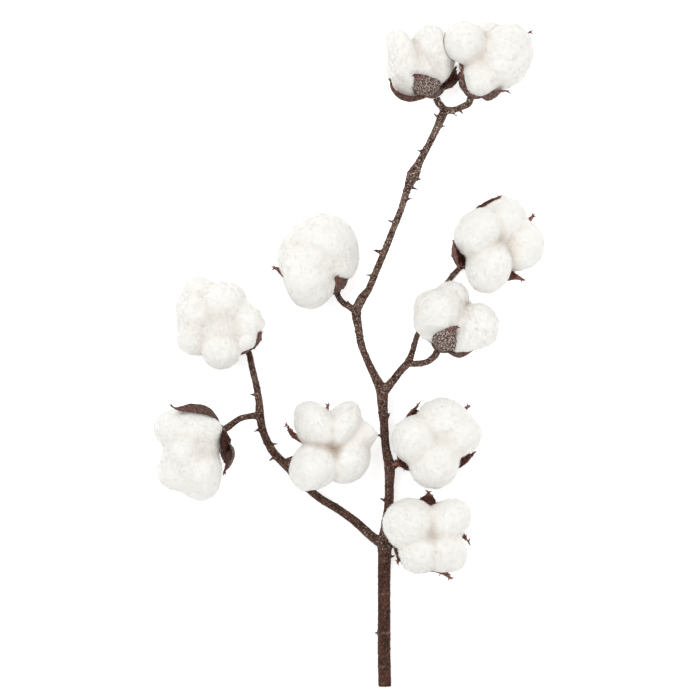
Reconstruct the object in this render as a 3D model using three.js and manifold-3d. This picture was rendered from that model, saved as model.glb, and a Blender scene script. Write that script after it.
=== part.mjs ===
// A cut cotton stem lying on a surface: one woody branching stalk that carries ten open bolls.
// Each boll is a tuft of white lint in four or five locks, held in a brown burr of dry, pointed carpels.
// Millimetres, +Z up, +Y from the cut end towards the top of the stem.
import * as THREE from "three";
import { mergeVertices } from "three/addons/utils/BufferGeometryUtils.js";
import Module from "manifold-3d";

const wasm = await Module();
wasm.setup();

// Driving dimensions
const GAP = 0.3; // clearance between two pieces that press on each other
const SLIVER = 0.02; // what a cut leaves that is thinner than this is closed up
const TRUNK_SIDES = 8;
const TWIG_SIDES = 6;
const STUB_SIDES = 4;
const CUP_SIDES = 6;
const RING_STEP = 12; // length of stalk between two rings
const LINT_DETAIL = 4; // subdivision of the ball that a tuft is drawn out from
const LINT_HEART = 25; // height of the tuft's middle above the base
const LINT_CORE = [0, 0, 21, 14, 14, 14]; // the lint between the locks, given as a lock on the axis
const LINT_BLEND = 14; // how sharply two neighbouring locks meet
const SLAB = [600, 1200, 60]; // what stands for the surface under the stem
const CARPEL_THICK = 1.2;
const CARPEL_CUP = 0.3; // share of its half width by which a carpel's edges bend in
const CARPEL_ROWS = 5;

// A carpel's mid line, from root to tip, as [distance from the boll's axis, height above its base].
const CARPEL_LINE = [[2, 3.2], [10.5, 3.6], [17, 7.2], [21.3, 14], [23.6, 20.5], [25.6, 25], [28.5, 28]];
// How much of a carpel's flare and sweep each point of its mid line takes.
const CARPEL_BEND = [0, 0, 0, 0, 0.15, 0.5, 1];
// A carpel's outline as [share of its length, half width].
const CARPEL_OUTLINE = [[0, 3.2], [0.2, 6], [0.4, 8.6], [0.58, 7.4], [0.74, 4], [0.87, 1.8], [1, 0.5]];
// The receptacle that the carpels grow from, turned about the boll's axis, as [radius, height].
const RECEPTACLE = [[0, GAP], [2.6, GAP], [5.4, 1.8], [6.8, 3.6], [5.6, 5.2], [0, 5.6]];

// Stalks from root to tip as [x, y, z, radius], with x and y from the cut end and z from the surface.
const TRUNK = [
  [0, 0, 4.1, 4.3], [-0.5, 22, 5.7, 4.2], [-0.5, 48, 7.3, 4.2], [-0.5, 72, 8.8, 4.15],
  [-0.2, 86, 9.7, 4.4], [0.2, 94, 10.2, 5], [1, 104, 10.9, 3.8], [2.5, 117, 11.7, 3.1],
  [2.9, 130, 12.5, 2.95], [3, 143, 13.3, 3.5], [0.6, 156, 14.2, 2.7], [-0.6, 172, 15.2, 2.8],
  [-1.6, 186, 16, 3.5], [-2, 193, 16.5, 3.9], [-6.8, 203, 17.1, 2.7], [-11.5, 213, 17.7, 2.3],
  [-15.5, 223.5, 18.4, 2.4], [-17.2, 234, 19.1, 2.5], [-18.6, 245, 19.7, 3.2], [-14.8, 253.5, 20.3, 3],
  [-10.8, 259, 20.7, 2.3], [-5.5, 271.5, 21.5, 2.2], [0, 284.5, 22.3, 2.3], [5, 297.5, 23.1, 2.15],
  [10.2, 310.5, 23.9, 2.2], [14.8, 325, 24.8, 2.4], [18.3, 333.5, 25.3, 4.3], [22.2, 341.5, 25.8, 2.5],
  [28.3, 353, 26.5, 2.2], [33, 362.5, 27.1, 2.4], [37, 371.5, 27.7, 2.9], [39.5, 377, 28, 2.6],
];
const LEFT_BRANCH = [
  [0, 92, 10, 3.4], [-9, 98.5, 9.6, 3.1], [-19.5, 108, 9, 2.9], [-30, 115.5, 8.2, 2.7],
  [-43, 123.5, 7.6, 2.6], [-54, 133, 7.8, 2.6], [-64, 144, 9.4, 2.9], [-73, 153.5, 12, 2.7],
  [-79.3, 166.5, 14.6, 2.5], [-81.4, 177, 16, 2.9], [-82, 186, 15.8, 2.4], [-83.7, 196, 14.6, 2.2],
  [-86.5, 208, 12, 2.1], [-88.4, 217, 8.6, 2],
];
const RIGHT_BRANCH = [
  [-1.5, 192, 16.4, 3.4], [5, 199.5, 17.4, 2.6], [10, 206, 18.4, 2.5], [15, 211.5, 19, 2.6],
  [18, 219, 15.6, 1.9], [20.5, 227.5, 9.4, 1.8], [25.5, 239, 4.4, 1.8], [33.5, 252, 2.6, 1.8],
  [42.5, 266, 2.4, 1.8], [49, 273.5, 2.6, 1.8],
];

// Side shoots, each from its stalk towards a boll. The last stretch into the boll's base is added by rule.
const PEDUNCLES = {
  a: [[38.6, 375.5, 27.8, 2.6], [36.4, 378.4, 28, 2.2]],
  b: [[39.2, 375.5, 27.8, 2.6], [44, 375.6, 26.6, 2.1], [49.6, 377.6, 24.8, 2]],
  c: [[-18, 245, 19.7, 2.8], [-23, 247.6, 18.6, 2], [-28, 251.2, 13.6, 1.9], [-31, 256.4, 8, 1.9]],
  d: [[-88.4, 217, 8.6, 2], [-89.6, 220.4, 6.8, 2.1]],
  e: [[-81.4, 177, 16, 2.5], [-89.3, 176.4, 17.8, 2], [-95.6, 174.4, 19, 2]],
  f: [[-64, 146, 9.6, 3], [-57, 149.5, 6.2, 2.2], [-50, 152.4, 3.6, 2.1]],
  g: [[49, 273.5, 2.6, 1.8], [52.4, 277.4, 2.4, 1.9]],
  h: [[14.5, 211.2, 19, 2.4], [20.5, 210.8, 21, 2], [27.4, 212, 23, 2]],
  i: [[3, 143, 13.3, 3], [10, 147, 9, 2.2], [18, 152.4, 4.6, 2.1], [23, 155.6, 3.6, 2.2]],
  j: [[0.2, 93.5, 10.2, 3.2], [7, 93, 8, 2.3], [13, 94.4, 4.6, 2.2], [18, 95.8, 3.6, 2.2]],
};
const SHOOT_END = 3.5; // length of a shoot's last stretch, straight into the boll's base
const SHOOT_RADIUS = 2.3;

// Scars, stubs and buds on the stalks, as [x, y, heading in degrees, length from the stalk's middle, radius].
const STUBS = [
  [35, 371, 150, 4.6, 1.3], [42, 374.5, -40, 4, 1.2], [48, 377.3, -55, 3.6, 1.1],
  [34.5, 363.5, 20, 4.2, 1.2], [25.5, 348.5, 160, 4, 1.2], [17.4, 329.5, 10, 5.6, 1.5],
  [16.4, 326, -20, 5, 1.3], [12.4, 317, 15, 4, 1.2],
  [6.8, 303, 165, 4, 1.2], [-1, 283, 160, 5.2, 1.8], [-7.6, 268, 170, 4, 1.2], [-15, 256, 50, 5, 2.6],
  [-21, 248.5, 120, 4, 1.6], [-17, 226, 110, 5, 1.6], [-0.4, 172, 55, 6.4, 1.3], [0.4, 163, 165, 4.6, 1.3],
  [2.6, 121, 165, 4.8, 1.6], [-0.4, 83, 20, 5.8, 1.6], [-83, 190, 170, 4.2, 1.2], [-79.6, 168, 190, 4.4, 1.3],
  [-75.5, 158, 10, 4.4, 1.3], [-70.5, 151, 215, 4.6, 1.3], [-64, 146, 170, 4.4, 2.4], [0.4, 36, 190, 5, 1.5],
];

// How a stub narrows, as [share of its length, share of its radius].
const STUB_TAPER = [[0, 1.15], [0.6, 1], [1, 0.5]];

// Bolls, the ones in front first, since a tuft presses into the tufts that come after it.
// A lock is [angle about the axis, distance from it, height, size across, size outward, size along].
// A carpel is [angle, spread, rise, breadth, flare, sweep]: three shares of the usual carpel's size, and
// how far its tip is bent away from the axis and round it.
// Angle 0 is as near +X as the boll's axis allows, and a quarter turn on is as near +Y.
const BOLLS = {
  b: {
    base: [55.6, 383.4, 23.7],
    axis: [0.34, 0.93, 0.1],
    locks: [
      [-148, 19.5, 33.5, 13.5, 14, 14], [-17, 12.5, 34, 18.5, 17, 22], [-81, 9, 16, 12, 12.5, 12],
      [94, 11, 29.5, 16, 16.5, 21.5],
    ],
    carpels: [
      [-140, 0.61, 0.68, 0.5, -3, -4], [-33, 0.76, 0.5, 0.65, 6, -5], [46, 0.86, 1.9, 0.85, 9, 0],
      [113, 0.75, 0.95, 1, 1, 2],
    ],
  },
  a: {
    base: [33.4, 383.6, 28],
    axis: [-0.36, 0.93, 0.04],
    locks: [
      [-157, 11, 31, 12.5, 9, 22.5], [-9, 10, 31, 14, 11.5, 15.5], [44, 10.5, 27.5, 13.5, 15.5, 17.5],
      [160, 12.5, 21, 13, 13, 18], [-10, 7, 17, 9.5, 9, 9],
    ],
    carpels: [
      [-106, 0.72, 0.7, 1.15, 3, -2], [194, 1.14, 0.8, 0.8, -7, 5], [40, 0.95, 0.5, 1.25, -2, 0],
      [95, 0.8, 0.82, 1.05, 1, 0],
    ],
  },
  c: {
    base: [-32.2, 263.4, 7.6],
    axis: [-0.42, 0.52, 0.74],
    locks: [
      [143, 13, 28, 19, 16, 18.5], [89, 11, 31.5, 14, 16, 18.5], [38, 12.5, 33, 18.5, 18.5, 23],
      [-112, 15.5, 28, 14.5, 19.5, 22], [-4, 11.5, 21.5, 13.5, 14, 14],
    ],
    carpels: [
      [-52, 0.83, 1, 0.7, -2, 0], [171, 1.3, 0.95, 1.2, -4, 0], [82, 0.8, 0.92, 0.95, 1, 0],
      [-100, 0.6, 0.42, 0.8, 2.5, 0],
    ],
  },
  d: {
    base: [-90.6, 224.6, 7.6],
    axis: [-0.62, 0.42, 0.66],
    locks: [
      [-99, 17, 22.5, 12.5, 12.5, 12.5], [-160, 20, 31, 9, 9, 9], [181, 16.5, 26.5, 12.5, 16.5, 15.5],
      [139, 16, 32.5, 14, 16.5, 18], [109, 25, 38.5, 10, 11.5, 11], [68, 13, 27, 14.5, 16.5, 18.5],
      [8, 15, 14.5, 13, 11.5, 13.5], [-38, 11.5, 13, 9, 9.5, 9], [-100, 4, 27, 12, 12, 12],
    ],
    carpels: [
      [184, 1.18, 0.94, 1, -1, -3], [128, 1, 0.98, 1.05, -1.5, 0], [40, 0.77, 0.72, 0.6, 0, 0],
      [-22, 0.9, 0.5, 0.9, 0, 0], [-66, 0.6, 0.4, 0.7, 0, 0],
    ],
  },
  e: {
    base: [-104, 168.4, 20.1],
    axis: [-0.8, -0.5, 0.33],
    locks: [
      [154, 18.5, 31.5, 11, 11.5, 11.5], [141, 17, 28.5, 11.5, 12, 12], [128, 15, 24, 11.5, 12, 12.5],
      [119, 13, 19.5, 11.5, 12, 12], [112, 10.5, 14, 11.5, 12, 12], [-75, 9, 41, 13, 13.5, 13],
      [-28, 13.5, 30, 14.5, 14.5, 15], [-39, 21.5, 32, 12.5, 12.5, 12.5], [110, 3, 32, 13.5, 13.5, 13.5],
      [-108, 14.5, 24, 14, 15.5, 16],
    ],
    carpels: [
      [120, 1.33, 1.1, 1.2, 1, -4], [14, 0.6, 0.5, 1.1, 3, 0], [-27, 0.96, 0.6, 1.6, -3, -1.5],
      [-110, 0.8, 0.68, 1, 0, 0],
    ],
  },
  f: {
    base: [-45.4, 154, 6.4],
    axis: [0.3, 0.08, 0.95],
    locks: [
      [121, 15.5, 27, 12, 18.5, 18.5], [60, 16, 29.5, 10.5, 18.5, 18], [-126, 15, 26, 15, 18, 18],
      [-28, 14.5, 27, 16.5, 15, 17.5], [23, 22.5, 28, 9.5, 17, 15],
    ],
    carpels: [
      [151, 1.17, 0.88, 0.22, -2, 0.5], [90, 0.98, 1, 0.9, 0.5, 0], [30, 0.8, 0.9, 0.9, 0, 0],
      [-95, 0.8, 0.92, 0.95, 0, 0], [-16, 0.84, 0.88, 0.88, 0, 0],
    ],
  },
  g: {
    base: [55.6, 281.2, 5.6],
    axis: [0.54, 0.22, 0.81],
    locks: [
      [145, 13.5, 26.5, 17, 14, 17.5], [68, 17.5, 28, 14.5, 18.5, 17], [9, 19.5, 29, 16.5, 14.5, 19],
      [-100, 12.5, 25.5, 14, 19.5, 16.5],
    ],
    carpels: [
      [90, 1.39, 1.25, 1, -7.5, -1], [34, 1.32, 1.1, 1.2, 1, 4], [-42, 1.1, 1.04, 1.2, -1.5, 0],
      [195, 1.05, 0.89, 1.2, 0, 1], [217, 0.72, 0.54, 0.92, 3, 0],
    ],
  },
  h: {
    base: [34, 218.8, 24.2],
    axis: [0.48, 0.86, 0.15],
    locks: [
      [-142, 13.5, 21, 14.5, 17.5, 19], [-24, 15, 24, 14.5, 15.5, 19], [-171, 19, 24, 10.5, 10.5, 10.5],
      [96, 8.5, 23.5, 16, 16.5, 15], [164, 9, 33.5, 13, 11.5, 13],
    ],
    carpels: [
      [-92, 0.86, 0.88, 0.95, 2, 2], [-17, 0.82, 0.6, 0.85, 0.5, 0], [175, 0.72, 0.65, 0.88, 0, 0],
      [69, 0.7, 0.68, 0.82, 0, 0],
    ],
  },
  i: {
    base: [26.2, 157, 7.4],
    axis: [0.28, 0.1, 0.95],
    locks: [
      [174, 15, 26, 15.5, 15, 17], [73, 13.5, 27.5, 17.5, 16, 18], [20, 13.5, 27.5, 14, 16.5, 18.5],
      [-98, 12.5, 26, 16, 18, 18],
    ],
    carpels: [
      [127, 1.12, 0.94, 1, -4.5, -6], [50, 1.15, 0.94, 1.15, 0.5, -1], [-25, 1.13, 0.91, 1.4, -6.5, 5.5],
      [212, 1.13, 0.79, 1, 0, -2.5],
    ],
  },
  j: {
    base: [21.2, 96.6, 7.4],
    axis: [0.27, 0.08, 0.96],
    locks: [
      [149, 14.5, 26, 17, 17.5, 17.5], [40, 15, 28, 13, 17.5, 18.5], [-45, 14, 27, 14, 16, 18],
      [-118, 11.5, 25, 13, 14.5, 17],
    ],
    carpels: [
      [85, 1.19, 1.02, 1, -5, 4], [12, 1.1, 0.86, 1, -4.5, -10], [-71, 1, 1.22, 1.2, 2, 3],
      [216, 0.98, 0.87, 1.1, -1, 2],
    ],
  },
};

const BARK = new THREE.MeshStandardMaterial({ color: 0x5a4336, roughness: 0.85, metalness: 0 });
const BURR = new THREE.MeshStandardMaterial({ color: 0x76665f, roughness: 0.8, metalness: 0 });
const LINT = new THREE.MeshStandardMaterial({ color: 0xf5f2ee, roughness: 1, metalness: 0 });

// Solids from three.js geometry and back

function toSolid(geometry) {
  const bare = geometry.clone();
  bare.deleteAttribute("normal");
  bare.deleteAttribute("uv");
  const merged = mergeVertices(bare, 1e-4);
  const mesh = new wasm.Mesh({
    numProp: 3,
    vertProperties: new Float32Array(merged.getAttribute("position").array),
    triVerts: new Uint32Array(merged.getIndex().array),
  });
  return new wasm.Manifold(mesh);
}

function toMesh(name, solid, material) {
  const { vertProperties, triVerts } = solid.getMesh();
  const geometry = new THREE.BufferGeometry();
  geometry.setAttribute("position", new THREE.BufferAttribute(vertProperties, 3));
  geometry.setIndex(new THREE.BufferAttribute(triVerts, 1));
  const mesh = new THREE.Mesh(geometry, material.clone());
  mesh.name = name;
  return mesh;
}

function joined(solids) {
  return solids.reduce((whole, solid) => whole.add(solid));
}

// The largest body of a solid, without the loose scraps and hair-thin slivers that a cut leaves.
function withoutScraps(solid) {
  const bodies = solid.decompose();
  return bodies.reduce((best, body) => (body.volume() > best.volume() ? body : best)).simplify(SLIVER);
}

// A closed surface through rows of points; each row is a loop, and both ends are closed by a fan.
function loft(loops) {
  const sides = loops[0].length;
  const middles = [loops[0], loops.at(-1)].map((loop) => {
    const middle = new THREE.Vector3();
    loop.forEach((point) => middle.add(point));
    return middle.divideScalar(sides);
  });
  const points = [...loops.flat(), ...middles];
  const index = [];
  const last = (loops.length - 1) * sides;
  for (let side = 0; side < sides; side += 1) {
    const next = (side + 1) % sides;
    for (let row = 0; row < last; row += sides) {
      index.push(row + side, row + next, row + sides + next);
      index.push(row + side, row + sides + next, row + sides + side);
    }
    index.push(points.length - 2, next, side);
    index.push(points.length - 1, last + side, last + next);
  }
  const geometry = new THREE.BufferGeometry().setFromPoints(points);
  geometry.setIndex(index);
  return toSolid(geometry);
}

// Woody parts

const toVector = ([x, y, z]) => new THREE.Vector3(x, y, z);

function alongList(list, share) {
  const place = share * (list.length - 1);
  const before = Math.min(Math.floor(place), list.length - 2);
  return THREE.MathUtils.lerp(list[before], list[before + 1], place - before);
}

function stalk(route, sides, grow) {
  const curve = new THREE.CatmullRomCurve3(route.map(toVector));
  const radii = route.map((point) => point[3] + grow);
  const steps = Math.ceil(curve.getLength() / RING_STEP);
  const frames = curve.computeFrenetFrames(steps, false);
  const loops = frames.tangents.map((tangent, step) => {
    const share = curve.getUtoTmapping(step / steps);
    const beyond = { 0: -grow, [steps]: grow }[step] ?? 0;
    const middle = curve.getPoint(share).addScaledVector(tangent, beyond);
    const radius = alongList(radii, share);
    return Array.from({ length: sides }, (_, side) => {
      const angle = (side / sides) * 2 * Math.PI;
      return middle.clone()
        .addScaledVector(frames.normals[step], radius * Math.cos(angle))
        .addScaledVector(frames.binormals[step], radius * Math.sin(angle));
    });
  });
  return loft(loops);
}

// A side shoot runs from its stalk through its points and ends square on its boll's axis.
function shoot(name) {
  const { base, axis } = BOLLS[name];
  const up = toVector(axis).normalize();
  const ends = [SHOOT_END, 0].map((back) => [...toVector(base).addScaledVector(up, -back), SHOOT_RADIUS]);
  return [...PEDUNCLES[name], ...ends];
}

function nearestOnStalks(x, y) {
  const routes = [TRUNK, LEFT_BRANCH, RIGHT_BRANCH, ...Object.keys(PEDUNCLES).map(shoot)];
  const curves = routes.map((route) => new THREE.CatmullRomCurve3(route.map(toVector)));
  const spots = curves.flatMap((curve) => curve.getPoints(Math.ceil(curve.getLength())));
  return spots.reduce((best, spot) => (
    Math.hypot(spot.x - x, spot.y - y) < Math.hypot(best.x - x, best.y - y) ? spot : best
  ));
}

function stub([x, y, heading, length, radius], grow) {
  const root = nearestOnStalks(x, y);
  const angle = THREE.MathUtils.degToRad(heading);
  const way = new THREE.Vector3(Math.cos(angle), Math.sin(angle), 0);
  const route = STUB_TAPER.map(([share, width]) => [
    ...root.clone().addScaledVector(way, share * length),
    width * radius,
  ]);
  return stalk(route, STUB_SIDES, grow);
}

function wood(grow) {
  const limbs = [
    stalk(TRUNK, TRUNK_SIDES, grow),
    stalk(LEFT_BRANCH, TWIG_SIDES, grow),
    stalk(RIGHT_BRANCH, TWIG_SIDES, grow),
    ...Object.keys(PEDUNCLES).map((name) => stalk(shoot(name), TWIG_SIDES, grow)),
    ...STUBS.map((entry) => stub(entry, grow)),
  ];
  return joined(limbs);
}

// Bolls, in their own frame: +Z along the axis, origin at the base

// The turn and shift from a boll's own frame to its place on the stem.
function seat({ base, axis }) {
  const up = toVector(axis).normalize();
  const side = new THREE.Vector3(1, 0, 0);
  side.addScaledVector(up, -side.dot(up)).normalize();
  const back = new THREE.Vector3().crossVectors(up, side);
  return new THREE.Matrix4().makeBasis(side, back, up).setPosition(...base);
}

// How far a ray from the tuft's middle runs before it leaves a lock, or 0 where it misses the lock.
function reachThroughLock(direction, [angle, distance, height, across, outward, along]) {
  const turn = THREE.MathUtils.degToRad(-angle);
  const upright = new THREE.Vector3(0, 0, 1);
  const shrink = new THREE.Vector3(1 / outward, 1 / across, 1 / along);
  const origin = new THREE.Vector3(-distance, 0, LINT_HEART - height).multiply(shrink);
  const ray = direction.clone().applyAxisAngle(upright, turn).multiply(shrink);
  const steepness = ray.lengthSq();
  const nearing = origin.dot(ray);
  const inside = nearing ** 2 - steepness * (origin.lengthSq() - 1);
  return inside < 0 ? 0 : Math.max(0, (Math.sqrt(inside) - nearing) / steepness);
}

// A tuft is a ball drawn out to the furthest lock in every direction, with its locks run together.
function lint(boll, grow) {
  const geometry = new THREE.IcosahedronGeometry(1, LINT_DETAIL);
  const position = geometry.getAttribute("position");
  const direction = new THREE.Vector3();
  for (let index = 0; index < position.count; index += 1) {
    direction.fromBufferAttribute(position, index).normalize();
    const reaches = [LINT_CORE, ...boll.locks].map((entry) => reachThroughLock(direction, entry));
    const blend = reaches.reduce((sum, reach) => sum + reach ** LINT_BLEND, 0) ** (1 / LINT_BLEND);
    direction.multiplyScalar(blend + grow);
    position.setXYZ(index, direction.x, direction.y, direction.z + LINT_HEART);
  }
  return toSolid(geometry.applyMatrix4(seat(boll)));
}

function outlineAt(share) {
  const after = Math.max(1, CARPEL_OUTLINE.findIndex(([place]) => place >= share));
  const [[start, from], [end, to]] = [CARPEL_OUTLINE[after - 1], CARPEL_OUTLINE[after]];
  return THREE.MathUtils.mapLinear(share, start, end, from, to);
}

function carpel([angle, spread, rise, breadth, flare, sweep], grow) {
  const line = CARPEL_LINE.map(([distance, height], index) => new THREE.Vector3(
    (index === 0 ? distance : distance * spread) + flare * CARPEL_BEND[index],
    sweep * CARPEL_BEND[index],
    index < 2 ? height : height * rise,
  ));
  const curve = new THREE.CatmullRomCurve3(line);
  const across = new THREE.Vector3(0, 1, 0);
  const loops = Array.from({ length: CARPEL_ROWS + 1 }, (_, row) => {
    const share = row / CARPEL_ROWS;
    const middle = curve.getPointAt(share);
    const tangent = curve.getTangentAt(share);
    const inward = new THREE.Vector3().crossVectors(tangent, across);
    const half = outlineAt(share) * breadth;
    middle.addScaledVector(tangent, grow * (2 * share - 1));
    const at = (side, lift) => middle.clone()
      .addScaledVector(across, side * (half + grow))
      .addScaledVector(inward, side * side * CARPEL_CUP * half + lift * (CARPEL_THICK / 2 + grow));
    return [at(-1, -1), at(0, -1), at(1, -1), at(1, 1), at(0, 1), at(-1, 1)];
  });
  return { loops, angle: THREE.MathUtils.degToRad(angle) };
}

function burr(boll, grow) {
  const place = seat(boll);
  const profile = RECEPTACLE.map(([radius, height], index) => new THREE.Vector2(
    radius + (radius > 0 ? grow : 0),
    height + (index > 2 ? grow : -grow),
  ));
  const cup = new THREE.LatheGeometry(profile, CUP_SIDES);
  cup.rotateX(Math.PI / 2);
  const blades = boll.carpels.map((entry) => {
    const { loops, angle } = carpel(entry, grow);
    const turned = new THREE.Matrix4().multiplyMatrices(place, new THREE.Matrix4().makeRotationZ(angle));
    return loft(loops.map((loop) => loop.map((point) => point.applyMatrix4(turned))));
  });
  return joined([toSolid(cup.applyMatrix4(place)), ...blades]);
}

// The whole stem

const surface = toSolid(new THREE.BoxGeometry(...SLAB).translate(0, 0, -SLAB[2] / 2));
const part = new THREE.Group();

part.add(toMesh("stem", withoutScraps(wood(0).subtract(surface)), BARK));
let taken = wood(GAP).add(surface);
for (const [name, boll] of Object.entries(BOLLS)) {
  const husk = withoutScraps(burr(boll, 0).subtract(taken));
  taken = taken.add(burr(boll, GAP));
  part.add(toMesh(`boll_${name}_burr`, husk, BURR));
}
for (const [name, boll] of Object.entries(BOLLS)) {
  const tuft = withoutScraps(lint(boll, 0).subtract(taken));
  taken = taken.add(lint(boll, GAP));
  part.add(toMesh(`boll_${name}_lint`, tuft, LINT));
}

// The origin is at the middle of the footprint.
const bounds = new THREE.Box3().setFromObject(part);
const middle = bounds.getCenter(new THREE.Vector3());
part.position.set(-middle.x, -middle.y, -bounds.min.z);
part.updateMatrixWorld(true);

export default part;
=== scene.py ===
"""Looks of a cut cotton stem with ten open bolls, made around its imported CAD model.

The lists of places and sizes are in millimetres and repeat the CAD source.
What reaches the scene is in metres.
"""

import itertools
import math

import bpy
import numpy as np
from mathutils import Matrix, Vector
from mathutils.bvhtree import BVHTree


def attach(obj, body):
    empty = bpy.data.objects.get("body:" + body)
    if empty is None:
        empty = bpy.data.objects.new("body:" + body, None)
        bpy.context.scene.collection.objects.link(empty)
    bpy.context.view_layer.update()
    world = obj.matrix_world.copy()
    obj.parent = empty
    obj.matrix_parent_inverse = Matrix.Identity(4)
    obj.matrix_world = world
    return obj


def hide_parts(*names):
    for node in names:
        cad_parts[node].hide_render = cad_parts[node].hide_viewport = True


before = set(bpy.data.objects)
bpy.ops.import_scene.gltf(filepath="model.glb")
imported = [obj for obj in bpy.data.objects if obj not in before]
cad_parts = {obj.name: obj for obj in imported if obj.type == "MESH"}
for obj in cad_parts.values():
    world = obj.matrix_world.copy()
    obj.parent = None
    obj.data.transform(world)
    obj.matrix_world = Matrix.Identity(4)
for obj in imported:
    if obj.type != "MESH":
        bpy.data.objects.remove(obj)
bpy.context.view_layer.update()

MM = 0.001
SHIFT = np.array([23.678, -216.467, 0.0])  # from the source's origin, under the cut end, to the frame's
FLOOR_GAP = 0.02  # how far over the floor the lowest points stay

# Camera: straight down on the lying stem.
MM_PER_PIXEL = 0.65
PICTURE_SIDE = 700
VIEW_CENTRE = SHIFT[:2] + (-22.75, 219.7)
VIEW_HEIGHT = 27.0  # the level at which the scale holds
LENS = 400.0
SENSOR = 36.0
CLIP_NEAR, CLIP_FAR = 0.1, 60  # in metres

# Stalks from root to tip as (x, y, z, radius).
TRUNK = [
    (0, 0, 4.1, 4.3), (-0.5, 22, 5.7, 4.2), (-0.5, 48, 7.3, 4.2), (-0.5, 72, 8.8, 4.15),
    (-0.2, 86, 9.7, 4.4), (0.2, 94, 10.2, 5), (1, 104, 10.9, 3.8), (2.5, 117, 11.7, 3.1),
    (2.9, 130, 12.5, 2.95), (3, 143, 13.3, 3.5), (0.6, 156, 14.2, 2.7), (-0.6, 172, 15.2, 2.8),
    (-1.6, 186, 16, 3.5), (-2, 193, 16.5, 3.9), (-6.8, 203, 17.1, 2.7), (-11.5, 213, 17.7, 2.3),
    (-15.5, 223.5, 18.4, 2.4), (-17.2, 234, 19.1, 2.5), (-18.6, 245, 19.7, 3.2), (-14.8, 253.5, 20.3, 3),
    (-10.8, 259, 20.7, 2.3), (-5.5, 271.5, 21.5, 2.2), (0, 284.5, 22.3, 2.3), (5, 297.5, 23.1, 2.15),
    (10.2, 310.5, 23.9, 2.2), (14.8, 325, 24.8, 2.4), (18.3, 333.5, 25.3, 4.3), (22.2, 341.5, 25.8, 2.5),
    (28.3, 353, 26.5, 2.2), (33, 362.5, 27.1, 2.4), (37, 371.5, 27.7, 2.9), (39.5, 377, 28, 2.6),
]
LEFT_BRANCH = [
    (0, 92, 10, 3.4), (-9, 98.5, 9.6, 3.1), (-19.5, 108, 9, 2.9), (-30, 115.5, 8.2, 2.7),
    (-43, 123.5, 7.6, 2.6), (-54, 133, 7.8, 2.6), (-64, 144, 9.4, 2.9), (-73, 153.5, 12, 2.7),
    (-79.3, 166.5, 14.6, 2.5), (-81.4, 177, 16, 2.9), (-82, 186, 15.8, 2.4), (-83.7, 196, 14.6, 2.2),
    (-86.5, 208, 12, 2.1), (-88.4, 217, 8.6, 2),
]
RIGHT_BRANCH = [
    (-1.5, 192, 16.4, 3.4), (5, 199.5, 17.4, 2.6), (10, 206, 18.4, 2.5), (15, 211.5, 19, 2.6),
    (18, 219, 15.6, 1.9), (20.5, 227.5, 9.4, 1.8), (25.5, 239, 4.4, 1.8), (33.5, 252, 2.6, 1.8),
    (42.5, 266, 2.4, 1.8), (49, 273.5, 2.6, 1.8),
]
PEDUNCLES = {
    "a": [(38.6, 375.5, 27.8, 2.6), (36.4, 378.4, 28, 2.2)],
    "b": [(39.2, 375.5, 27.8, 2.6), (44, 375.6, 26.6, 2.1), (49.6, 377.6, 24.8, 2)],
    "c": [(-18, 245, 19.7, 2.8), (-23, 247.6, 18.6, 2), (-28, 251.2, 13.6, 1.9), (-31, 256.4, 8, 1.9)],
    "d": [(-88.4, 217, 8.6, 2), (-89.6, 220.4, 6.8, 2.1)],
    "e": [(-81.4, 177, 16, 2.5), (-89.3, 176.4, 17.8, 2), (-95.6, 174.4, 19, 2)],
    "f": [(-64, 146, 9.6, 3), (-57, 149.5, 6.2, 2.2), (-50, 152.4, 3.6, 2.1)],
    "g": [(49, 273.5, 2.6, 1.8), (52.4, 277.4, 2.4, 1.9)],
    "h": [(14.5, 211.2, 19, 2.4), (20.5, 210.8, 21, 2), (27.4, 212, 23, 2)],
    "i": [(3, 143, 13.3, 3), (10, 147, 9, 2.2), (18, 152.4, 4.6, 2.1), (23, 155.6, 3.6, 2.2)],
    "j": [(0.2, 93.5, 10.2, 3.2), (7, 93, 8, 2.3), (13, 94.4, 4.6, 2.2), (18, 95.8, 3.6, 2.2)],
}
SHOOT_END = 3.5
SHOOT_RADIUS = 2.3

# Spurs and buds as (x, y, heading in degrees, length from the stalk's middle, radius). Wide ones are buds.
STUBS = [
    (35, 371, 150, 4.6, 1.3), (42, 374.5, -40, 4, 1.2), (48, 377.3, -55, 3.6, 1.1),
    (34.5, 363.5, 20, 4.2, 1.2), (25.5, 348.5, 160, 4, 1.2), (17.4, 329.5, 10, 5.6, 1.5),
    (16.4, 326, -20, 5, 1.3), (12.4, 317, 15, 4, 1.2),
    (6.8, 303, 165, 4, 1.2), (-1, 283, 160, 5.2, 1.8), (-7.6, 268, 170, 4, 1.2), (-15, 256, 50, 5, 2.6),
    (-21, 248.5, 120, 4, 1.6), (-17, 226, 110, 5, 1.6),
    (-0.4, 172, 55, 6.4, 1.3), (0.4, 163, 165, 4.6, 1.3), (2.6, 121, 165, 4.8, 1.6), (-0.4, 83, 20, 5.8, 1.6),
    (-83, 190, 170, 4.2, 1.2), (-79.6, 168, 190, 4.4, 1.3), (-75.5, 158, 10, 4.4, 1.3),
    (-70.5, 151, 215, 4.6, 1.3), (-64, 146, 170, 4.4, 2.4), (0.4, 36, 190, 5, 1.5),
]

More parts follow.
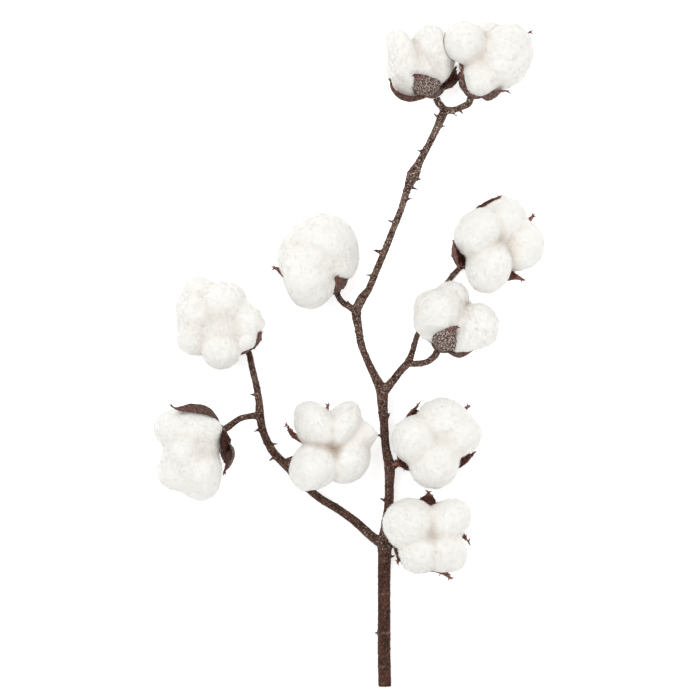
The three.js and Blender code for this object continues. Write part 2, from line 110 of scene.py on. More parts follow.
# Bolls, the ones in front first.
# A lock is (angle about the axis, distance from it, height, size across, size outward, size along).
# A carpel is (angle, spread, rise, breadth, flare, sweep): three shares of the usual size, and how far its
# tip is bent away from the axis and round it.
# soft is how many rounds of smoothing run the locks together.
# A mouth value is the strength of the painted shade that darkens the lint deep between them; USUAL_MOUTH
# where it isn't given.
BOLLS = {
    "b": {
        "base": (55.6, 383.4, 23.7), "axis": (0.34, 0.93, 0.1), "soft": 20,
        "locks": [
            (-148, 19.5, 33.5, 13.5, 14, 14), (-17, 12.5, 34, 18.5, 17, 22),
            (-81, 9, 16, 12, 12.5, 12), (94, 11, 29.5, 16, 16.5, 21.5),
        ],
        "carpels": [
            (-140, 0.61, 0.68, 0.5, -3, -4), (-33, 0.76, 0.5, 0.65, 6, -5), (46, 0.86, 1.9, 0.85, 9, 0),
            (113, 0.75, 0.95, 1, 1, 2),
        ],
    },
    "a": {
        "base": (33.4, 383.6, 28), "axis": (-0.36, 0.93, 0.04), "soft": 22,
        "locks": [
            (-157, 11, 31, 12.5, 9, 22.5), (-9, 10, 31, 14, 11.5, 15.5),
            (44, 10.5, 27.5, 13.5, 15.5, 17.5), (160, 12.5, 21, 13, 13, 18), (-10, 7, 17, 9.5, 9, 9),
        ],
        "carpels": [
            (-106, 0.72, 0.7, 1.15, 3, -2), (194, 1.14, 0.8, 0.8, -7, 5), (40, 0.95, 0.5, 1.25, -2, 0),
            (95, 0.8, 0.82, 1.05, 1, 0),
        ],
    },
    "c": {
        "base": (-32.2, 263.4, 7.6), "axis": (-0.42, 0.52, 0.74), "soft": 200,
        "locks": [
            (143, 13, 28, 19, 16, 18.5), (89, 11, 31.5, 14, 16, 18.5),
            (38, 12.5, 33, 18.5, 18.5, 23), (-112, 15.5, 28, 14.5, 19.5, 22),
            (-4, 11.5, 21.5, 13.5, 14, 14),
        ],
        "carpels": [
            (-52, 0.83, 1, 0.7, -2, 0), (171, 1.3, 0.95, 1.2, -4, 0), (82, 0.8, 0.92, 0.95, 1, 0),
            (-100, 0.6, 0.42, 0.8, 2.5, 0),
        ],
    },
    "d": {
        "base": (-90.6, 224.6, 7.6), "axis": (-0.62, 0.42, 0.66), "soft": 42,
        "locks": [
            (-99, 17, 22.5, 12.5, 12.5, 12.5), (-160, 20, 31, 9, 9, 9), (181, 16.5, 26.5, 12.5, 16.5, 15.5),
            (139, 16, 32.5, 14, 16.5, 18), (109, 25, 38.5, 10, 11.5, 11),
            (68, 13, 27, 14.5, 16.5, 18.5), (8, 15, 14.5, 13, 11.5, 13.5), (-38, 11.5, 13, 9, 9.5, 9),
            (-100, 4, 27, 12, 12, 12),
        ],
        "carpels": [
            (184, 1.18, 0.94, 1, -1, -3), (128, 1, 0.98, 1.05, -1.5, 0), (40, 0.77, 0.72, 0.6, 0, 0),
            (-22, 0.9, 0.5, 0.9, 0, 0), (-66, 0.6, 0.4, 0.7, 0, 0),
        ],
    },
    "e": {
        "base": (-104, 168.4, 20.1), "axis": (-0.8, -0.5, 0.33), "soft": 40,
        "locks": [
            (154, 18.5, 31.5, 11, 11.5, 11.5), (141, 17, 28.5, 11.5, 12, 12), (128, 15, 24, 11.5, 12, 12.5),
            (119, 13, 19.5, 11.5, 12, 12), (112, 10.5, 14, 11.5, 12, 12),
            (-75, 9, 41, 13, 13.5, 13), (-28, 13.5, 30, 14.5, 14.5, 15), (-39, 21.5, 32, 12.5, 12.5, 12.5),
            (110, 3, 32, 13.5, 13.5, 13.5), (-108, 14.5, 24, 14, 15.5, 16),
        ],
        "carpels": [
            (120, 1.33, 1.1, 1.2, 1, -4), (14, 0.6, 0.5, 1.1, 3, 0), (-27, 0.96, 0.6, 1.6, -3, -1.5),
            (-110, 0.8, 0.68, 1, 0, 0),
        ],
    },
    "f": {
        "base": (-45.4, 154, 6.4), "axis": (0.3, 0.08, 0.95), "soft": 14, "mouth_shade": 1,
        "locks": [
            (121, 15.5, 27, 12, 18.5, 18.5), (60, 16, 29.5, 10.5, 18.5, 18),
            (-126, 15, 26, 15, 18, 18), (-28, 14.5, 27, 16.5, 15, 17.5), (23, 22.5, 28, 9.5, 17, 15),
        ],
        "carpels": [
            (151, 1.17, 0.88, 0.22, -2, 0.5), (90, 0.98, 1, 0.9, 0.5, 0), (30, 0.8, 0.9, 0.9, 0, 0),
            (-95, 0.8, 0.92, 0.95, 0, 0), (-16, 0.84, 0.88, 0.88, 0, 0),
        ],
    },
    "g": {
        "base": (55.6, 281.2, 5.6), "axis": (0.54, 0.22, 0.81), "soft": 14, "mouth_shade": 0.4,
        "locks": [
            (145, 13.5, 26.5, 17, 14, 17.5), (68, 17.5, 28, 14.5, 18.5, 17), (9, 19.5, 29, 16.5, 14.5, 19),
            (-100, 12.5, 25.5, 14, 19.5, 16.5),
        ],
        "carpels": [
            (90, 1.39, 1.25, 1, -7.5, -1), (34, 1.32, 1.1, 1.2, 1, 4),
            (-42, 1.1, 1.04, 1.2, -1.5, 0), (195, 1.05, 0.89, 1.2, 0, 1), (217, 0.72, 0.54, 0.92, 3, 0),
        ],
    },
    "h": {
        "base": (34, 218.8, 24.2), "axis": (0.48, 0.86, 0.15), "soft": 16,
        "locks": [
            (-142, 13.5, 21, 14.5, 17.5, 19), (-24, 15, 24, 14.5, 15.5, 19), (-171, 19, 24, 10.5, 10.5, 10.5),
            (96, 8.5, 23.5, 16, 16.5, 15), (164, 9, 33.5, 13, 11.5, 13),
        ],
        "carpels": [
            (-92, 0.86, 0.88, 0.95, 2, 2), (-17, 0.82, 0.6, 0.85, 0.5, 0),
            (175, 0.72, 0.65, 0.88, 0, 0), (69, 0.7, 0.68, 0.82, 0, 0),
        ],
    },
    "i": {
        "base": (26.2, 157, 7.4), "axis": (0.28, 0.1, 0.95), "soft": 26,
        "locks": [
            (174, 15, 26, 15.5, 15, 17), (73, 13.5, 27.5, 17.5, 16, 18),
            (20, 13.5, 27.5, 14, 16.5, 18.5), (-98, 12.5, 26, 16, 18, 18),
        ],
        "carpels": [
            (127, 1.12, 0.94, 1, -4.5, -6), (50, 1.15, 0.94, 1.15, 0.5, -1),
            (-25, 1.13, 0.91, 1.4, -6.5, 5.5), (212, 1.13, 0.79, 1, 0, -2.5),
        ],
    },
    "j": {
        "base": (21.2, 96.6, 7.4), "axis": (0.27, 0.08, 0.96), "soft": 12, "mouth_shade": 0.5,
        "locks": [
            (149, 14.5, 26, 17, 17.5, 17.5), (40, 15, 28, 13, 17.5, 18.5), (-45, 14, 27, 14, 16, 18),
            (-118, 11.5, 25, 13, 14.5, 17),
        ],
        "carpels": [
            (85, 1.19, 1.02, 1, -5, 4), (12, 1.1, 0.86, 1, -4.5, -10), (-71, 1, 1.22, 1.2, 2, 3),
            (216, 0.98, 0.87, 1.1, -1, 2),
        ],
    },
}

# A carpel's mid line as (distance from the boll's axis, height).
CARPEL_LINE = [(2, 3.2), (10.5, 3.6), (17, 7.2), (21.3, 14), (23.6, 20.5), (25.6, 25), (28.5, 28)]
CARPEL_BEND = [0, 0, 0, 0, 0.15, 0.5, 1]  # how much of the flare and sweep each point of the line takes
# Its outline as (share of its length, half width).
CARPEL_OUTLINE = [(0, 3.2), (0.2, 6), (0.4, 8.6), (0.58, 7.4), (0.74, 4), (0.87, 1.8), (1, 0.5)]
CARPEL_CUP = 0.3  # how far its edges stand in towards the lint, as a share of the half width
# The receptacle's outline as (radius, height).
RECEPTACLE = [(0, 0.3), (2.6, 0.3), (5.4, 1.8), (6.8, 3.6), (5.6, 5.2), (0, 5.6)]

LINT_HEART = 25.0  # how far up the boll's axis the tuft's middle is
LINT_CORE = (0, 0, 21, 14, 14, 14)  # one more lock, which fills the middle of each tuft
LINT_BLEND = 14.0  # the higher, the sharper the seams between locks


# Meshes as (points in millimetres, triangles)

LATTICE = np.random.default_rng(7).permutation(256)
CUBE_EDGES = [g for g in itertools.product((-1, 0, 1), repeat=3) if sum(abs(v) for v in g) == 2]
GRADIENTS = np.array(CUBE_EDGES, float)
NOISE_STRIDE = 31.7  # how far apart the noise of two seeds is read


def unit(vectors):
    return vectors / np.linalg.norm(vectors, axis=-1, keepdims=True)


def spin(degrees):
    """The matrix that turns points about the upright axis."""
    turn = math.radians(degrees)
    return np.array([[math.cos(turn), -math.sin(turn), 0], [math.sin(turn), math.cos(turn), 0], [0, 0, 1]])


def noise(points, size, seed=0):
    """Smooth noise from about -1 to 1 whose features have that size."""
    place = points / size + NOISE_STRIDE * seed
    cell = np.floor(place).astype(np.int64)
    part = place - cell
    ease = part ** 3 * (part * (part * 6 - 15) + 10)
    total = np.zeros(len(points))
    for corner in itertools.product((0, 1), repeat=3):
        step = np.array(corner)
        x, y, z = ((cell + step) & 255).T
        drawn = LATTICE[(LATTICE[(LATTICE[x] + y) & 255] + z) & 255]
        weight = np.prod(np.where(step, ease, 1 - ease), axis=1)
        total += weight * np.einsum("ij,ij->i", GRADIENTS[drawn % 12], part - step)
    return total


def merged(parts):
    points, faces, count = [], [], 0
    for part_points, part_faces in parts:
        points.append(part_points)
        faces.append(part_faces + count)
        count += len(part_points)
    return np.vstack(points), np.vstack(faces)


def spline(route, per_span=16):
    """Points on the centripetal Catmull-Rom curve through the route, and the place of each in its list."""
    route = np.asarray(route, float)
    padded = np.vstack([2 * route[0] - route[1], route, 2 * route[-1] - route[-2]])
    share = (np.arange(per_span) / per_span)[:, None]
    line = []
    for before, start, end, after in zip(padded, padded[1:], padded[2:], padded[3:]):
        gaps = [math.sqrt(np.linalg.norm(q - p)) for p, q in ((before, start), (start, end), (end, after))]
        first = (start - before) / gaps[0] - (end - before) / (gaps[0] + gaps[1]) + (end - start) / gaps[1]
        last = (end - start) / gaps[1] - (after - start) / (gaps[1] + gaps[2]) + (after - end) / gaps[2]
        first, last = first * gaps[1], last * gaps[1]
        line.append(
            start + first * share
            + (3 * (end - start) - 2 * first - last) * share ** 2
            + (2 * (start - end) + first + last) * share ** 3
        )
    line.append(route[-1:])
    return np.vstack(line), np.append(np.arange((len(route) - 1) * per_span) / per_span, len(route) - 1)


def evenly(line, places, step=None, count=None):
    """The line's points at even lengths along it, with their places and lengths."""
    lengths = np.append(0, np.cumsum(np.linalg.norm(np.diff(line, axis=0), axis=1)))
    count = count or max(3, math.ceil(lengths[-1] / step))
    at = np.linspace(0, lengths[-1], count + 1)
    points = np.stack([np.interp(at, lengths, line[:, k]) for k in range(3)], axis=1)
    return points, np.interp(at, lengths, places), at


def axes_along(points):
    """Directions along a line and two across it, which don't twist about it."""
    along = unit(np.gradient(points, axis=0))
    seed = np.array([0.0, 0.0, 1.0]) if abs(along[0][2]) < 0.9 else np.array([1.0, 0.0, 0.0])
    across = []
    for way in along:
        seed = unit(seed - way * (seed @ way))
        across.append(seed)
    across = np.array(across)
    return along, across, np.cross(along, across)


def ring_faces(rows, sides):
    """Triangles between rings of points, and to the end points that follow the last ring in the list."""
    side = np.arange(sides)
    after = (side + 1) % sides
    last = (rows - 1) * sides
    faces = []
    for low in range(0, last, sides):
        high = low + sides
        faces.append(np.stack([low + side, low + after, high + after], axis=1))
        faces.append(np.stack([low + side, high + after, high + side], axis=1))
    faces.append(np.stack([np.full(sides, rows * sides), after, side], axis=1))
    faces.append(np.stack([np.full(sides, rows * sides + 1), last + side, last + after], axis=1))
    return np.vstack(faces)


def tube(points, radii, sides, pointed=False):
    """A closed tube round a line, with its ends closed by fans."""
    _, across, over = axes_along(points)
    angle = np.arange(sides) * 2 * np.pi / sides
    radii = np.asarray(radii, float)
    rings = points[:, None] + radii[:, None, None] * (
        np.cos(angle)[None, :, None] * across[:, None] + np.sin(angle)[None, :, None] * over[:, None]
    )
    verts = np.vstack([rings.reshape(-1, 3), points[:1], points[-1:]])
    if pointed:
        verts[-1] = points[-1] + (points[-1] - points[-2]) * 0.5
    return verts, ring_faces(len(points), sides)


def ball(frequency):
    """Directions evenly over a sphere, the triangles between them and each one's neighbours.

    The faces of an icosahedron are each divided into frequency² triangles.
    """
    golden = (1 + math.sqrt(5)) / 2
    corners = unit(np.array([
        (-1, golden, 0), (1, golden, 0), (-1, -golden, 0), (1, -golden, 0), (0, -1, golden), (0, 1, golden),
        (0, -1, -golden), (0, 1, -golden), (golden, 0, -1), (golden, 0, 1), (-golden, 0, -1), (-golden, 0, 1),
    ], float))
    sides = [
        (0, 11, 5), (0, 5, 1), (0, 1, 7), (0, 7, 10), (0, 10, 11), (1, 5, 9), (5, 11, 4), (11, 10, 2),
        (10, 7, 6), (7, 1, 8), (3, 9, 4), (3, 4, 2), (3, 2, 6), (3, 6, 8), (3, 8, 9), (4, 9, 5), (2, 4, 11),
        (6, 2, 10), (8, 6, 7), (9, 8, 1),
    ]
    spots = [(i, j) for i in range(frequency + 1) for j in range(frequency + 1 - i)]
    number = {spot: k for k, spot in enumerate(spots)}
    small = [(number[i, j], number[i + 1, j], number[i, j + 1])
             for i in range(frequency) for j in range(frequency - i)]
    small += [(number[i + 1, j], number[i + 1, j + 1], number[i, j + 1])
              for i in range(frequency) for j in range(frequency - i - 1)]
    weights = np.array([(frequency - i - j, i, j) for i, j in spots], float) / frequency
    points = np.vstack([weights @ corners[list(side)] for side in sides])
    faces = np.vstack([np.array(small) + k * len(spots) for k in range(len(sides))])
    _, first, same = np.unique(np.round(points, 7), axis=0, return_index=True, return_inverse=True)
    faces = same.reshape(-1)[faces]
    directions = unit(points[first])
    around = [set() for _ in directions]
    for a, b, c in faces.tolist():
        around[a] |= {b, c}
        around[b] |= {a, c}
        around[c] |= {a, b}
    near = np.array([(sorted(s) + [k] * 6)[:6] for k, s in enumerate(around)])
    return directions, faces, near


# Materials

def linear(red, green, blue):
    """A colour given as on screen, from 0 to 255, as Blender's nodes take it."""
    values = [v / 255 for v in (red, green, blue)]
    return (*[v / 12.92 if v <= 0.04045 else ((v + 0.055) / 1.055) ** 2.4 for v in values], 1.0)


def new_material(name, **sockets):
    material = bpy.data.materials.new(name)
    material.use_nodes = True
    shader = material.node_tree.nodes["Principled BSDF"]
    for key, value in sockets.items():
        shader.inputs[key.replace("_", " ")].default_value = value
    return material, shader


def add(material, kind, inputs=None, **settings):
    """Adds a node; an input may be a value or another node's output."""
    node = material.node_tree.nodes.new(kind)
    for key, value in settings.items():
        setattr(node, key, value)
    for key, value in (inputs or {}).items():
        if isinstance(value, bpy.types.NodeSocket):
            material.node_tree.links.new(value, node.inputs[key])
        else:
            node.inputs[key].default_value = value
    return node


def grain(material, size, detail, rough=0.55, warp=0.0):
    """Noise over the piece with features of that size in millimetres, from 0 to 1."""
    place = add(material, "ShaderNodeTexCoord").outputs["Object"]
    settings = {
        "Vector": place, "Scale": 1 / (size * MM), "Detail": detail, "Roughness": rough, "Distortion": warp,
    }
    return add(material, "ShaderNodeTexNoise", settings).outputs["Fac"]


def streaks(material, size, stretch):
    """Noise drawn out along a carpel, from its painted places in millimetres."""
    spots = {0: painted(material, "across"), 1: times(material, painted(material, "along"), 1 / stretch)}
    place = add(material, "ShaderNodeCombineXYZ", spots).outputs[0]
    settings = {"Vector": place, "Scale": 1 / size, "Detail": 4.0, "Roughness": 0.6}
    return add(material, "ShaderNodeTexNoise", settings).outputs["Fac"]


def between(material, value, low, high):
    """0 where the value is at low or under, 1 where it is at high or over."""
    settings = {"Value": value, "From Min": low, "From Max": high}
    return add(material, "ShaderNodeMapRange", settings, interpolation_type="SMOOTHSTEP").outputs["Result"]


def mixed(material, share, first, second):
    return add(material, "ShaderNodeMix", {0: share, 6: first, 7: second}, data_type="RGBA").outputs[2]


def times(material, first, second):
    return add(material, "ShaderNodeMath", {0: first, 1: second}, operation="MULTIPLY").outputs[0]


def scaled(material, value, factor, base):
    settings = {0: value, 1: factor, 2: base}
    return add(material, "ShaderNodeMath", settings, operation="MULTIPLY_ADD").outputs[0]


def painted(material, name):
    return add(material, "ShaderNodeAttribute", attribute_name=name).outputs["Fac"]


def colour_with(material, shader, colour):
    material.node_tree.links.new(colour, shader.inputs["Base Color"])


def bump(material, shader, height, depth, strength):
    node = add(material, "ShaderNodeBump", {"Height": height, "Distance": depth * MM, "Strength": strength})
    material.node_tree.links.new(node.outputs["Normal"], shader.inputs["Normal"])


def bark_material():
    material, shader = new_material("bark", Roughness=0.85)
    shader.inputs["Specular IOR Level"].default_value = 0.25
    frost = painted(material, "frost")
    patches = between(material, grain(material, 7, 3), 0.35, 0.65)
    low = mixed(material, patches, linear(52, 25, 15), linear(80, 47, 33))
    high = mixed(material, patches, linear(68, 40, 28), linear(108, 85, 73))
    colour = mixed(material, frost, low, high)
    dark = between(material, grain(material, 1.6, 3, 0.6), 0.5, 0.6)
    share = times(material, dark, scaled(material, frost, 0.6, 0.35))
    colour = mixed(material, share, colour, linear(32, 14, 7))
    # painted light on the stalks' sides, together with the ring scars' own pale marks
    colour = mixed(material, painted(material, "side_light_and_scars"), colour, linear(140, 124, 114))
    specks = between(material, grain(material, 1.0, 2.5, 0.7), 0.55, 0.63)
    share = times(material, specks, scaled(material, frost, 0.67, 0.14))
    colour = mixed(material, share, colour, linear(208, 192, 182))
    colour = mixed(material, painted(material, "cut"), colour, linear(196, 172, 138))
    colour_with(material, shader, colour)
    bump(material, shader, grain(material, 0.9, 4, 0.65), 0.5, 0.8)
    return material


def burr_material():
    material, shader = new_material("burr", Roughness=0.85)
    shader.inputs["Specular IOR Level"].default_value = 0.12
    blotch = between(material, grain(material, 1.5, 4, 0.65), 0.4, 0.6)
    outside = mixed(material, blotch, linear(48, 23, 17), linear(120, 78, 66))
    inside = mixed(material, blotch, linear(76, 30, 22), linear(150, 86, 72))
    colour = mixed(material, painted(material, "inner"), outside, inside)
    tip = mixed(material, blotch, linear(88, 44, 34), linear(164, 112, 98))
    colour = mixed(material, painted(material, "tip"), colour, tip)
    edge = times(material, painted(material, "edge"), 0.6)
    colour = mixed(material, edge, colour, linear(62, 28, 20))
    # partly the carpel's own darker tone, partly painted shade on carpels that lie in shadow
    dark_tone_and_shade = times(material, painted(material, "dark_tone_and_shade"), 0.85)
    colour = mixed(material, dark_tone_and_shade, colour, linear(44, 15, 9))
    frost = painted(material, "frost")
    colour = mixed(material, times(material, frost, 0.75), colour, linear(86, 66, 58))
    specks = between(material, streaks(material, 0.6, 3.0), 0.48, 0.62)
    colour = mixed(material, times(material, specks, frost), colour, linear(210, 198, 192))
    colour_with(material, shader, colour)
    bump(material, shader, streaks(material, 0.8, 2.0), 0.5, 0.9)
    return material


def lint_material():
    material, shader = new_material(
        "lint", Roughness=0.95, Subsurface_Weight=0.35, Subsurface_Scale=0.003, Sheen_Weight=0.25,
        Sheen_Roughness=0.6,
    )
    shader.inputs["Subsurface Radius"].default_value = (1.0, 0.97, 0.94)
    shader.inputs["Specular IOR Level"].default_value = 0.2
    tint = between(material, grain(material, 14, 2), 0.3, 0.7)
    colour = mixed(material, tint, linear(242, 241, 237), linear(238, 236, 231))
    # painted shade: the lint is darkened and warmed in the creases between locks, where shade falls
    crease_shade = times(material, painted(material, "crease_shade"), 0.45)
    colour = mixed(material, crease_shade, colour, linear(224, 214, 202))
    # painted shade: the lint deep in the boll's mouth is darkened where shade falls
    colour = mixed(material, painted(material, "mouth_shade"), colour, linear(176, 158, 140))
    colour_with(material, shader, colour)
    bump(material, shader, grain(material, 1.3, 5, 0.7, 1.5), 0.4, 0.4)
    return material


def fibre_material():
    material, shader = new_material("fibre", Roughness=0.9)
    tint = between(material, grain(material, 5, 1), 0.3, 0.7)
    colour = mixed(material, tint, linear(254, 252, 248), linear(250, 247, 241))
    colour_with(material, shader, colour)
    return material


BARK, BURR, LINT, FIBRE = bark_material(), burr_material(), lint_material(), fibre_material()


def make_piece(name, points, faces, material, slot, node=None, paint=None):
    """A mesh in the frame's place, riding on the stem's one body."""
    mesh = bpy.data.meshes.new(name)
    mesh.from_pydata(((points + SHIFT) * MM).tolist(), [], faces.tolist())
    mesh.shade_smooth()
    mesh.materials.append(material)
    for key, values in (paint or {}).items():
        mesh.attributes.new(key, "FLOAT", "POINT").data.foreach_set("value", np.asarray(values, np.float32))
    piece = bpy.data.objects.new(name, mesh)
    bpy.context.scene.collection.objects.link(piece)
    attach(piece, "root")
    if node:
        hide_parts(node)
    return piece


# The woody stem

WOOD_SEED = 11
WOOD_VOXEL = 0.5
LIMB_STEP = 0.8
LIMB_UNEVEN = 0.10  # how much a stalk's radius wanders, for each 3 mm of it
CENTRE_STEP = 0.5
RING_SCARS = (13.0, 35.1, 60.5)  # how far up the trunk each ring is
RING_HEIGHT, RING_WIDTH, RING_PAINT_WIDTH = 0.22, 0.6, 0.7
KNOT, KNOT_REACH = 97.0, 10  # how far up the lowest joint is, and how far its pale film reaches
FROST_START, FROST_SPAN = 70, 270  # from where up, and over what length, the bark turns pale
BUD_RADIUS = 2  # a stub wider than this is a blunt bud
SPUR_STEPS = 8
SPUR_POINT = 2.2  # how much further a sharp spur reaches than its stub in the solid
WARTS_FROM, WART_HEIGHT = 0.30, 0.9  # the noise over which a wart stands, and how high for each unit of it
CUT_LAYER = 0.35  # how far up the stalk's end is painted as cut wood


def seat(boll):
    """A boll's own axes as columns, and its base."""
    up = unit(np.array(boll["axis"], float))
    side = unit(np.array([1.0, 0, 0]) - up * up[0])
    return np.stack([side, np.cross(up, side), up], axis=1), np.array(boll["base"], float)


def shoot(name):
    """A side shoot's route, which ends square on its boll's axis."""
    turn, base = seat(BOLLS[name])
    ends = [(*(base - turn[:, 2] * back), SHOOT_RADIUS) for back in (SHOOT_END, 0)]
    return [*PEDUNCLES[name], *ends]


ROUTES = {"trunk": TRUNK, "left": LEFT_BRANCH, "right": RIGHT_BRANCH, **{n: shoot(n) for n in PEDUNCLES}}
CENTRES = np.vstack([
    evenly(*spline([p[:3] for p in route]), step=CENTRE_STEP)[0] for route in ROUTES.values()
])


def limb(name, sides):
    route = ROUTES[name]
    points, places, _ = evenly(*spline([p[:3] for p in route]), step=LIMB_STEP)
    radii = np.interp(places, range(len(route)), [p[3] for p in route])
    radii += LIMB_UNEVEN * noise(points, 5.0, 3) * radii / 3
    if name == "trunk":
        for y in RING_SCARS:
            radii += RING_HEIGHT * np.exp(-((points[:, 1] - y) / RING_WIDTH) ** 2)
    return tube(points, radii, sides)


def spur(entry, rng):
    """A short sharp spur or, where it is wide, a blunt bud."""
    x, y, heading, length, radius = entry
    root = CENTRES[np.argmin(np.hypot(CENTRES[:, 0] - x, CENTRES[:, 1] - y))]
    bend = rng.uniform(-0.5, 0.5)
    steps = np.linspace(0, 1, SPUR_STEPS + 1)
    blunt = radius > BUD_RADIUS
    reach = length if blunt else length + SPUR_POINT
    turn = math.radians(heading) + bend * steps ** 2
    ways = np.stack([np.cos(turn), np.sin(turn), rng.uniform(-0.1, 0.25) * steps], axis=1)
    points = root + np.cumsum(np.vstack([np.zeros(3), ways[:-1] * reach / SPUR_STEPS]), axis=0)
    if blunt:
        radii = radius * np.interp(steps, [0, 0.4, 0.75, 0.92, 1], [1.1, 1.05, 0.95, 0.6, 0.25])
        return tube(points, radii, sides=14)
    thickness = [1.1 * radius, 0.95 * radius, 0.62 * radius, 0.4 * radius, 0.15]
    radii = np.interp(steps, [0, 0.35, 0.5, 0.75, 1], thickness)
    return tube(points, radii, sides=9, pointed=True)


def remeshed(points, faces, voxel):
    """One skin round overlapping closed meshes, in millimetres."""
    mesh = bpy.data.meshes.new("skin")
    mesh.from_pydata(points.tolist(), [], faces.tolist())
    holder = bpy.data.objects.new("skin", mesh)
    bpy.context.scene.collection.objects.link(holder)
    modifier = holder.modifiers.new("skin", "REMESH")
    modifier.mode = "VOXEL"
    modifier.voxel_size = voxel
    modifier.use_smooth_shade = True
    evaluated = holder.evaluated_get(bpy.context.evaluated_depsgraph_get()).to_mesh()
    evaluated.calc_loop_triangles()
    found = np.zeros(len(evaluated.vertices) * 3, np.float32)
    evaluated.vertices.foreach_get("co", found)
    normals = np.zeros(len(evaluated.vertices) * 3, np.float32)
    evaluated.vertices.foreach_get("normal", normals)
    corners = np.zeros(len(evaluated.loop_triangles) * 3, np.int32)
    evaluated.loop_triangles.foreach_get("vertices", corners)
    holder.to_mesh_clear()
    bpy.data.objects.remove(holder)
    bpy.data.meshes.remove(mesh)
    return found.reshape(-1, 3).astype(float), corners.reshape(-1, 3), normals.reshape(-1, 3).astype(float)


def wood():
    """The stalks and spurs as one rough skin, with its paint: how pale, painted light on the sides with the
    ring scars' pale marks, and the cut end.
    """
    rng = np.random.default_rng(WOOD_SEED)
    limbs = [limb("trunk", sides=32), limb("left", sides=24), limb("right", sides=24)]
    limbs += [limb(name, sides=20) for name in PEDUNCLES]
    spurs = [spur(entry, rng) for entry in STUBS]
    points, faces, normals = remeshed(*merged(limbs + spurs), WOOD_VOXEL)
    end = points[:, 1] < points[:, 1].min() + CUT_LAYER
    rough = 0.17 * noise(points, 2.3, 1) + 0.10 * noise(points, 1.3, 2)
    warts = np.clip(noise(points, 1.9, 4) - WARTS_FROM, 0, 1) * WART_HEIGHT
    points = points + normals * np.where(end, 0, rough + warts)[:, None]
    points[:, 2] = np.maximum(points[:, 2], FLOOR_GAP)
    along = points[:, 1]
    frost = np.clip((along - FROST_START) / FROST_SPAN, 0, 1)
    frost += 0.4 * np.exp(-((along - KNOT) / KNOT_REACH) ** 2)
    rings = sum(np.exp(-((along - y) / RING_PAINT_WIDTH) ** 2) for y in RING_SCARS)
    # painted light: bark that faces sideways rather than up is painted pale, as light catches the stalks'
    # sides
    side = np.clip((0.5 - normals[:, 2]) / 0.4, 0, 1)
    side_light_and_scars = 0.6 * side * np.clip(1 - 2 * frost, 0, 1)
    # the ring scars' own pale marks
    side_light_and_scars += 0.6 * rings * np.clip(noise(points, 1.6, 6) + 0.3, 0, 0.8)
    return points, faces, {"frost": np.clip(frost, 0, 1), "side_light_and_scars": side_light_and_scars, "cut": end.astype(float)}


wood_points, wood_faces, wood_paint = wood()
make_piece("stem_bark", wood_points, wood_faces, BARK, "bark", "stem", wood_paint)


# Burrs: a receptacle and its dried carpels

# A carpel's look as (how dark, partly its own darker tone and partly painted shade where it lies in shadow,
# how much pale speck), in the order
PLAIN = (0.1, 0.3)
CARPEL_LOOKS = {
    "a": ((0.45, 0.85), (0.35, 0.15), (0.6, 0.05)),
    "b": ((0.1, 0.35), (0.15, 0.4)),
    "c": ((0.3, 0.3),),
    "e": ((0.5, 0.25), (0.95, 0.05), (0.6, 0.7)),
    "h": ((0.2, 1), (0.35, 0.3)),
}

HUSK_SEED = 100
CARPEL_ROWS = 34
CARPEL_COLUMNS = 12
CARPEL_MIDDLE, CARPEL_EDGE = 1.1, 0.45  # how thick a carpel is along its middle and at its edges
EDGE_WAVES, WAVES_ALONG = 0.16, 15  # share of the width by which the edge wanders, and how many times
RIBS, RIB_HEIGHT = 9, 0.16  # fine ribs along a carpel's back
MIDRIB_HEIGHT, MIDRIB_WIDTH = 0.35, 0.14
CRUMPLE, CRUMPLE_SIZE = 0.35, 3.2
# Thorns on a carpel's edges as (share of its length, which edge), and what share of their length is left on
# a carpel with much pale speck.
SIDE_THORNS = ((0.45, 1), (0.55, -1), (0.66, -1), (0.72, 1), (0.82, -1), (0.88, 1))
WEATHERED, WORN_SHARE = 0.7, 0.35
# Spikes at its tip as (turn in radians, lean away from the lint, length).
TIP_SPIKES = ((0.0, 0.0, 3.4), (0.9, 0.25, 3.2), (-0.9, 0.1, 2.8))
THORN_RADIUS, SPIKE_RADIUS = 0.5, 0.62
THORN_ROOT, SPIKE_ROOT = 0.4, 1.6  # how far inside the carpel they start
RECEPTACLE_SIDES = 22
HUSK_TOP = 55.2  # no dry tip stands higher than this


def thorn(start, heading, length, thick, look, inward, rng):
    """A short dry spike that curls a little to the carpel's back."""
    dark_tone_and_shade, frost = look
    steps = np.linspace(0, 1, 7)[:, None]
    path = start + heading * steps * length - inward * steps ** 2 * rng.uniform(-0.3, 0.8)
    radii = np.interp(steps[:, 0], [0, 0.5, 1], [thick, 0.65 * thick, 0.1])
    points, faces = tube(path, radii, sides=8, pointed=True)
    ones = np.ones(len(points))
    paint = {"inner": 0.4 * ones, "tip": ones, "edge": 0.35 * ones, "dark_tone_and_shade": dark_tone_and_shade * ones,
             "frost": 0.4 * frost * ones, "along": points[:, 2], "across": points[:, 1]}
    return points, faces, paint


